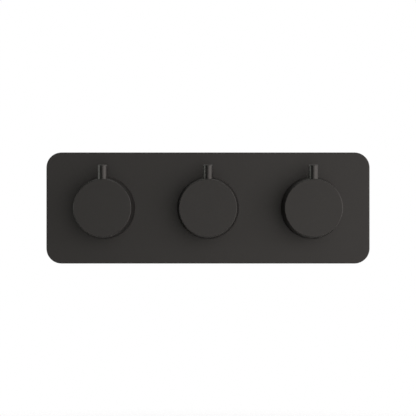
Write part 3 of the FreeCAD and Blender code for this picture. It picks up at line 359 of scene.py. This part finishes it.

# Each check spring is coiled from 0.7 mm wire, with its first and last turn laid closed, and spans the
# length of the CAD spring that it replaces.
check_wire = 0.35 * MM
check_coil = 2.85 * MM
check_turns = 5
wire_sides = 12
steps_per_turn = 36
cut_edge = math.radians(60)     # the cut ends of the wire stay sharp against its round side
end_turn_pitch = 2.08           # closed end turns all but touch: this many wire radii from turn to turn


def round_wire(spots, outs, along, radius, closed):
    """Points and faces of a round wire that follows the spots, or of a ring where it is closed."""
    points = []
    for spot, out in zip(spots, outs):
        points += circle(spot, out, along, radius, wire_sides)
    faces = [face[::-1] for face in bridge(points, wire_sides, closed)]
    if not closed:
        faces.append(tuple(range(wire_sides)))
        faces.append(tuple(range(len(points) - wire_sides, len(points)))[::-1])
    return points, faces


def coil_spring(name, start, end, across, coil_radius, wire_radius, turns, replaced):
    """A spring between two points, whose first and last turn are laid closed."""
    along = (end - start).normalized()
    side = along.cross(across)
    closed_pitch = end_turn_pitch * wire_radius
    open_pitch = ((end - start).length - 2 * wire_radius - 2 * closed_pitch) / (turns - 2)
    spots, outs = [], []
    for step in range(turns * steps_per_turn + 1):
        turn = step / steps_per_turn
        closed_turns = min(turn, 1) + max(turn - turns + 1, 0)
        climb = wire_radius + closed_pitch * closed_turns + open_pitch * (turn - closed_turns)
        out = across * math.cos(2 * math.pi * turn) + side * math.sin(2 * math.pi * turn)
        spots.append(start + along * climb + out * coil_radius)
        outs.append(out)
    points, faces = round_wire(spots, outs, along, wire_radius, False)
    coil = new_piece(name, points, faces, wire, "root", [replaced])
    coil.data.shade_smooth()
    coil.data.set_sharp_from_angle(angle=cut_edge)
    return coil


low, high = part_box("check_springs")
for side_name in ("hot", "cold"):
    x = ports[f"{side_name}_inlet"][0]
    start, end = Vector((x, port_y, low.z)), Vector((x, port_y, high.z))
    spring = coil_spring(f"{side_name}_check_spring", start, end, to_right, check_coil, check_wire,
                         check_turns, "check_springs")
    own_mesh(spring)

# ---------------------------------------------------------------- thermostatic cartridge
# The wax element pushes the shuttle between the hot and the cold seat. Spindle, bonnet, drive nut and
# hot seat are turned brass, the cage and shuttle moulded, and the wax sits in a copper capsule.

dress(acetal, "thermo_cage", "regulating_shuttle", "temperature_stop_ring")
dress(turned_brass, "thermo_bonnet", "thermo_spindle", "thermo_drive_nut", "hot_seat_ring")
dress(wire, "overload_spring")
dress(stainless, "overload_plunger", "wax_piston")

# The return spring, of 1.3 mm wire, stands on the cage's ledge and spans the length of the CAD spring it
# replaces.
return_wire = 0.65 * MM
return_coil = 7.65 * MM
return_turns = 6
low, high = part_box("return_spring")
start, end = Vector((0, low.y, 0)), Vector((0, high.y, 0))
spring = coil_spring("shuttle_return_spring", start, end, to_right, return_coil, return_wire, return_turns,
                     "return_spring")
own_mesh(spring)

# Drawn copper: salmon pink and bright, clouded brown where it has been handled.
handling_cloud = 4 * MM
copper, copper_shader = new_material("drawn_copper", "#c98a66", 1.0, 0.25)
place = add_node(copper, "ShaderNodeTexCoord", {}).outputs["Object"]
tarnish = add_node(copper, "ShaderNodeTexNoise", {
    "Vector": place, "Scale": 1 / handling_cloud, "Detail": 4.0,
})
tint = add_node(copper, "ShaderNodeMix", {
    "Factor": tarnish.outputs["Fac"], 6: linear("#d69672"), 7: linear("#a9694a"),
}, data_type="RGBA")
gloss = add_node(copper, "ShaderNodeMapRange", {
    "Value": tarnish.outputs["Fac"], "To Min": 0.18, "To Max": 0.4,
})
link(copper, tint.outputs[2], copper_shader, "Base Color")
link(copper, gloss.outputs["Result"], copper_shader, "Roughness")
dress(copper, "wax_element")

# Rubber seals are moulded EPDM: black, matt, with a dry bloom that lightens it in patches.
bloom_patch = 3 * MM
rubber, rubber_shader = new_material("moulded_epdm_rubber", "#1d1d1e", 0.0, 0.6)
place = add_node(rubber, "ShaderNodeTexCoord", {}).outputs["Object"]
bloom = add_node(rubber, "ShaderNodeTexNoise", {"Vector": place, "Scale": 1 / bloom_patch, "Detail": 4.0})
tint = add_node(rubber, "ShaderNodeMix", {
    "Factor": bloom.outputs["Fac"], 6: linear("#161617"), 7: linear("#29292a"),
}, data_type="RGBA")
gloss = add_node(rubber, "ShaderNodeMapRange", {
    "Value": bloom.outputs["Fac"], "To Min": 0.5, "To Max": 0.72,
})
link(rubber, tint.outputs[2], rubber_shader, "Base Color")
link(rubber, gloss.outputs["Result"], rubber_shader, "Roughness")
dress(rubber, "cage_seals", "shuttle_seal", "flow_base_seals")

# Two O-rings lie in grooves of each spindle, which turns inside them on a film of silicone grease.
# The radius is that of the rubber's section as it is squeezed in its groove.
seal_radius = 0.7875 * MM
grease_film = 0.02 * MM
seal_steps = 96
stations = {"left": -station_spacing, "centre": 0.0, "right": station_spacing}
into_wall = Vector((0, 1, 0))
low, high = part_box("spindle_seals")
for station, x in stations.items():
    points, faces = [], []
    for y in (low.y + seal_radius, high.y - seal_radius):
        outs = circle(Vector((0, 0, 0)), to_right, into_wall.cross(to_right), 1, seal_steps)
        spots = [Vector((x, y, 0)) + out * (high.z - seal_radius) for out in outs]
        ring, ring_faces = round_wire(spots, outs, into_wall, seal_radius - grease_film, True)
        faces += [tuple(corner + len(points) for corner in face) for face in ring_faces]
        points += ring
    seals = new_piece(f"spindle_seals_{station}", points, faces, rubber, "root",
                      ["spindle_seals"])
    seals.data.shade_smooth()

# ---------------------------------------------------------------- outlet cartridges
# Quarter-turn cartridges: a turned brass housing and spindle, and two lapped alumina discs.
# The discs are ground flat and slide on each other, wetted only by the water.

dress(turned_brass, "flow_housing_left", "flow_housing_right", "flow_spindle_left", "flow_spindle_right")
dress(stainless, "circlip_left", "circlip_centre", "circlip_right")

# Alumina: dense off-white ceramic, satin where it is lapped, with a faint fired speckle.
fired_speckle = 0.9 * MM
alumina, alumina_shader = new_material("lapped_alumina", "#ece9df", 0.0, 0.3)
alumina_shader.inputs["IOR"].default_value = 1.77
place = add_node(alumina, "ShaderNodeTexCoord", {}).outputs["Object"]
speckle = add_node(alumina, "ShaderNodeTexNoise", {
    "Vector": place, "Scale": 1 / fired_speckle, "Detail": 3.0,
})
tint = add_node(alumina, "ShaderNodeMix", {
    "Factor": speckle.outputs["Fac"], 6: linear("#e6e2d6"), 7: linear("#f1eee6"),
}, data_type="RGBA")
link(alumina, tint.outputs[2], alumina_shader, "Base Color")
dress(alumina, "turning_disc_left", "turning_disc_right", "fixed_disc_left", "fixed_disc_right")

# ---------------------------------------------------------------- sleeves
# Turned brass tubes, screwed on the body's necks. The front of each is threaded for the ring nut
# that clamps the cover plate, and the plain rear is where the fitter's strap wrench grips.

sleeve_radius = 21.5 * MM
sleeve_bore = 19.1 * MM
sleeve_front = -15 * MM
sleeve_back = 26 * MM
sleeve_thread_length = 25 * MM
sleeve_pitch = 1.5 * MM
sleeve_ridge = 0.7 * MM
sleeve_chamfer = 0.6 * MM
bore_chamfer = 0.3 * MM
sleeve_steps, sleeve_rows = 96, 100
thread_root = sleeve_radius - sleeve_ridge
thread_end = sleeve_front + sleeve_thread_length

# The sleeve's outline behind its thread, as radius and depth: run-out, plain rear and bore.
sleeve_outline = [
    (thread_root, thread_end + 0.5 * MM), (sleeve_radius - 0.2 * MM, thread_end + 1.0 * MM),
    (sleeve_radius, thread_end + 1.2 * MM), (sleeve_radius, sleeve_back - sleeve_chamfer),
    (sleeve_radius - sleeve_chamfer, sleeve_back), (sleeve_bore + bore_chamfer, sleeve_back),
    (sleeve_bore, sleeve_back - bore_chamfer), (sleeve_bore, sleeve_front + bore_chamfer),
    (sleeve_bore + bore_chamfer, sleeve_front),
]
for station, x in stations.items():
    points = threaded_wall(Vector((x, sleeve_front, 0)), into_wall, to_right, thread_root,
                           sleeve_thread_length, sleeve_pitch, sleeve_ridge, sleeve_steps, sleeve_rows)
    for radius, depth in sleeve_outline:
        points += circle(Vector((x, depth, 0)), to_right, into_wall.cross(to_right), radius, sleeve_steps)
    new_piece(f"threaded_sleeve_{station}", points, bridge(points, sleeve_steps, True), turned_brass,
              "root", [f"sleeve_{station}"])

# ---------------------------------------------------------------- cover plate and its seals
# The plate is brass, ground flat, with a dark gunmetal coating laid on in a vacuum. Behind its rim
# runs a strip of closed-cell foam that keeps spray out of the wall.

# Gunmetal coating: a warm, nearly black metal with a fine blasted tooth, so it reflects the room
# only as a broad, soft gradient. The tooth itself is far below a millimetre.
blast_grain = 0.9 * MM          # glass beads leave 0.1 mm pits, drawn coarser so that they show
coating_haze = 35 * MM
gunmetal, gunmetal_shader = new_material("blasted_gunmetal_coating", "#3d3b38", 1.0, 0.42)
place = add_node(gunmetal, "ShaderNodeTexCoord", {}).outputs["Object"]
tooth = add_node(gunmetal, "ShaderNodeTexNoise", {"Vector": place, "Scale": 1 / blast_grain, "Detail": 3.0})
haze = add_node(gunmetal, "ShaderNodeTexNoise", {"Vector": place, "Scale": 1 / coating_haze, "Detail": 2.0})
gloss = add_node(gunmetal, "ShaderNodeMapRange", {
    "Value": haze.outputs["Fac"], "To Min": 0.4, "To Max": 0.46,
})
tint = add_node(gunmetal, "ShaderNodeMix", {
    "Factor": tooth.outputs["Fac"], 6: linear("#3a3937"), 7: linear("#403f3d"),
}, data_type="RGBA")
relief = add_node(gunmetal, "ShaderNodeBump", {
    "Height": tooth.outputs["Fac"], "Strength": 0.12, "Distance": 0.05 * MM,
})
link(gunmetal, tint.outputs[2], gunmetal_shader, "Base Color")
link(gunmetal, gloss.outputs["Result"], gunmetal_shader, "Roughness")
link(gunmetal, relief.outputs["Normal"], gunmetal_shader, "Normal")
dress(gunmetal, "cover_plate")
dress(turned_brass, "plate_ring_nuts")
dress(rubber, "plate_sleeve_seals")

# Foam: charcoal polyethylene, matt, with cut cells about a millimetre wide on every face, each pit painted
# darker as shade.
foam_cell = 1.1 * MM
foam, foam_shader = new_material("closed_cell_foam", "#3a3a3b", 0.0, 0.9)
place = add_node(foam, "ShaderNodeTexCoord", {}).outputs["Object"]
cells_and_pit_shade = add_node(foam, "ShaderNodeTexVoronoi", {"Vector": place, "Scale": 1 / foam_cell})
# Painted shade: the colour follows the same cell distance as the bump, dark in the sunk middle of each cell
# and light on its raised rim.
tint = add_node(foam, "ShaderNodeMix", {
    "Factor": cells_and_pit_shade.outputs["Distance"], 6: linear("#2c2c2d"), 7: linear("#4a4a4b"),
}, data_type="RGBA")
relief = add_node(foam, "ShaderNodeBump", {
    "Height": cells_and_pit_shade.outputs["Distance"], "Strength": 0.7, "Distance": 0.3 * MM,
})
link(foam, tint.outputs[2], foam_shader, "Base Color")
link(foam, relief.outputs["Normal"], foam_shader, "Normal")

# The strip is one length laid round inside the rim, its two ends butted at the bottom.
seal_low, seal_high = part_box("plate_wall_seal")
seal_width = 4 * MM
seal_corner = 6.8 * MM
seal_gap = 0.25 * MM
seal_round = 0.5 * MM
straight_step = 1.6 * MM
arc_steps = 8
dent_depth = 0.12 * MM
dent_spacing = 1.7 * MM
half_across = seal_high.x - seal_width / 2
half_up = seal_high.z - seal_width / 2
route = []


def run(start, end):
    """Points along a straight stretch of the strip, its start included."""
    count = max(1, round((end - start).length / straight_step))
    return [start + (end - start) * i / count for i in range(count)]


corners = [(1, -1, -90), (1, 1, 0), (-1, 1, 90), (-1, -1, 180)]
last = Vector((seal_gap, 0, -half_up))
for side, up, first_angle in corners:
    centre = Vector((side * (half_across - seal_corner), 0, up * (half_up - seal_corner)))
    angles = [math.radians(first_angle + 90 * i / arc_steps) for i in range(arc_steps + 1)]
    arc = [centre + Vector((math.cos(angle), 0, math.sin(angle))) * seal_corner for angle in angles]
    route += run(last, arc[0]) + arc[:-1]
    last = arc[-1]
route += run(last, Vector((-seal_gap, 0, -half_up))) + [Vector((-seal_gap, 0, -half_up))]
depth = seal_high.y - seal_low.y
section = [
    (-seal_width / 2 + seal_round, 0), (-seal_width / 2, seal_round), (-seal_width / 2, depth / 2),
    (-seal_width / 2, depth - seal_round), (-seal_width / 2 + seal_round, depth), (0, depth),
    (seal_width / 2 - seal_round, depth), (seal_width / 2, depth - seal_round), (seal_width / 2, depth / 2),
    (seal_width / 2, seal_round), (seal_width / 2 - seal_round, 0), (0, 0),
]
points = []
for i, spot in enumerate(route):
    ahead, behind = route[min(i + 1, len(route) - 1)], route[max(i - 1, 0)]
    heading = (ahead - behind).normalized()
    outward = heading.cross(into_wall)
    for across, back in section:
        point = spot + outward * across + Vector((0, seal_low.y + back, 0))
        dent = dent_depth * noise.noise(point / dent_spacing)
        points.append(point - outward * math.copysign(abs(dent), across) if across else point)
faces = bridge(points, len(section), False)
faces.append(tuple(range(len(section)))[::-1])
faces.append(tuple(range(len(points) - len(section), len(points))))
wall_seal = new_piece("foam_wall_seal", points, faces, foam, "root", ["plate_wall_seal"])

# ---------------------------------------------------------------- knobs
# Three coated knobs, turned from brass bar with a slight taper, each with a round lever pin screwed
# into its top. A brass carrier holds each on its spindle, and a grub screw underneath fixes it.

for station in stations:
    dress(turned_brass, f"knob_carrier_{station}")
    dress(stainless, f"carrier_screw_{station}", f"knob_grub_screw_{station}")
    dress(gunmetal, f"knob_{station}", f"knob_pin_{station}")

# ---------------------------------------------------------------- studio
# A room that is light to the right and dark to the left, with one large softbox, so that dark metal
# has a side that gleams and a side that falls away. The valve hangs above a pale floor.

scene = bpy.context.scene
scene.view_settings.view_transform = "Standard"

camera_distance = 2.130
camera_lens = 185.7
softbox_size = (1.4, 1.0)
softbox_watts = 9
softbox_place = (1.9, -1.3, 0.6)

camera = bpy.data.objects.new("camera", bpy.data.cameras.new("camera"))
camera.data.lens = camera_lens
camera.data.clip_end = 20
camera.location = (0, -camera_distance, 0)
camera.rotation_euler = (math.radians(90), 0, 0)
scene.collection.objects.link(camera)
scene.camera = camera

softbox = bpy.data.objects.new("softbox", bpy.data.lights.new("softbox", "AREA"))
softbox.data.shape = "RECTANGLE"
softbox.data.size, softbox.data.size_y = softbox_size
softbox.data.energy = softbox_watts
softbox.location = softbox_place
softbox.rotation_euler = (-softbox.location).to_track_quat("-Z", "Y").to_euler()
scene.collection.objects.link(softbox)

# The room's light comes from the right and dies away past the middle, with one bright strip far to the
# left and a white ceiling. The right is a trace warmer than the left.
dark_side, bright_side = 0.08, 2.2
room = bpy.data.worlds.new("studio")
room.use_nodes = True
scene.world = room
backdrop = room.node_tree.nodes["Background"]
direction = add_node(room, "ShaderNodeTexCoord", {}).outputs["Generated"]
toward = add_node(room, "ShaderNodeSeparateXYZ", {"Vector": direction})
across_room = add_node(room, "ShaderNodeMapRange", {
    "Value": toward.outputs["X"], "From Min": -0.32, "From Max": 0.42,
}, interpolation_type="SMOOTHSTEP")
side_level = add_node(room, "ShaderNodeMapRange", {
    "Value": across_room.outputs["Result"], "To Min": dark_side, "To Max": bright_side,
})
far_left = add_node(room, "ShaderNodeMapRange", {
    "Value": toward.outputs["X"], "From Min": -0.9, "From Max": -0.99, "To Max": 3.5,
}, interpolation_type="SMOOTHSTEP")
both_sides = add_node(room, "ShaderNodeMath", {
    0: side_level.outputs["Result"], 1: far_left.outputs["Result"],
}, operation="ADD")
steepness = add_node(room, "ShaderNodeMath", {0: toward.outputs["Z"]}, operation="ABSOLUTE")
up_room = add_node(room, "ShaderNodeMapRange", {
    "Value": steepness.outputs[0], "From Min": 0.3, "From Max": 0.6, "To Min": 1.0, "To Max": 0.1,
}, interpolation_type="SMOOTHSTEP")
walls = add_node(room, "ShaderNodeMath", {
    0: both_sides.outputs[0], 1: up_room.outputs["Result"],
}, operation="MULTIPLY")
ceiling = add_node(room, "ShaderNodeMapRange", {
    "Value": toward.outputs["Z"], "From Min": 0.66, "From Max": 0.86, "To Max": 1.2,
}, interpolation_type="SMOOTHSTEP")
studio_level = add_node(room, "ShaderNodeMath", {
    0: walls.outputs[0], 1: ceiling.outputs["Result"],
}, operation="ADD")

# The white backdrop: the camera sees it all round, and metal sees it where it stands, behind the wall.
rays = add_node(room, "ShaderNodeLightPath", {})
mirrored = add_node(room, "ShaderNodeMath", {
    0: rays.outputs["Is Glossy Ray"], 1: rays.outputs["Is Transmission Ray"],
}, operation="MAXIMUM")
behind_wall = add_node(room, "ShaderNodeMapRange", {
    "Value": toward.outputs["Y"], "From Min": 0.2, "From Max": 0.6,
}, interpolation_type="SMOOTHSTEP")
mirrored_there = add_node(room, "ShaderNodeMath", {
    0: mirrored.outputs[0], 1: behind_wall.outputs["Result"],
}, operation="MULTIPLY")
on_backdrop = add_node(room, "ShaderNodeMath", {
    0: rays.outputs["Is Camera Ray"], 1: mirrored_there.outputs[0],
}, operation="MAXIMUM")
level = add_node(room, "ShaderNodeMix", {
    "Factor": on_backdrop.outputs[0], 2: studio_level.outputs[0], 3: 1.0,
})
lamp_tint = add_node(room, "ShaderNodeMix", {
    "Factor": across_room.outputs["Result"], 6: linear("#fbfffd"), 7: linear("#fff8fa"),
}, data_type="RGBA")
tint = add_node(room, "ShaderNodeMix", {
    "Factor": on_backdrop.outputs[0], 6: lamp_tint.outputs[2], 7: linear("#ffffff"),
}, data_type="RGBA")
link(room, level.outputs[0], backdrop, "Strength")
link(room, tint.outputs[2], backdrop, "Color")

# The floor is matt pale paint on a disc that fades out towards its rim, so no edge of it shows.
floor_height = -0.35
floor_setback = 0.5
floor_radius = 1.15
floor_steps = 96
floor_paint, floor_shader = new_material("pale_studio_floor", "#efefed", 0.0, 0.9)
place = add_node(floor_paint, "ShaderNodeTexCoord", {}).outputs["Object"]
distance = add_node(floor_paint, "ShaderNodeVectorMath", {0: place}, operation="LENGTH")
fade = add_node(floor_paint, "ShaderNodeMapRange", {
    "Value": distance.outputs["Value"], "From Min": 0.4, "From Max": floor_radius,
}, interpolation_type="SMOOTHSTEP")
clear = add_node(floor_paint, "ShaderNodeBsdfTransparent", {})
blend = add_node(floor_paint, "ShaderNodeMixShader", {
    0: fade.outputs["Result"], 1: floor_shader.outputs["BSDF"], 2: clear.outputs["BSDF"],
})
floor_output = floor_paint.node_tree.nodes["Material Output"]
floor_paint.node_tree.links.new(blend.outputs["Shader"], floor_output.inputs["Surface"])
rim = circle(Vector((0, 0, 0)), to_right, into_wall, floor_radius, floor_steps)
floor_mesh = bpy.data.meshes.new("floor")
floor_mesh.from_pydata(rim, [], [tuple(range(floor_steps))])
floor_mesh.materials.append(floor_paint)
floor = bpy.data.objects.new("floor", floor_mesh)
floor.location = (0, floor_setback, floor_height)
scene.collection.objects.link(floor)
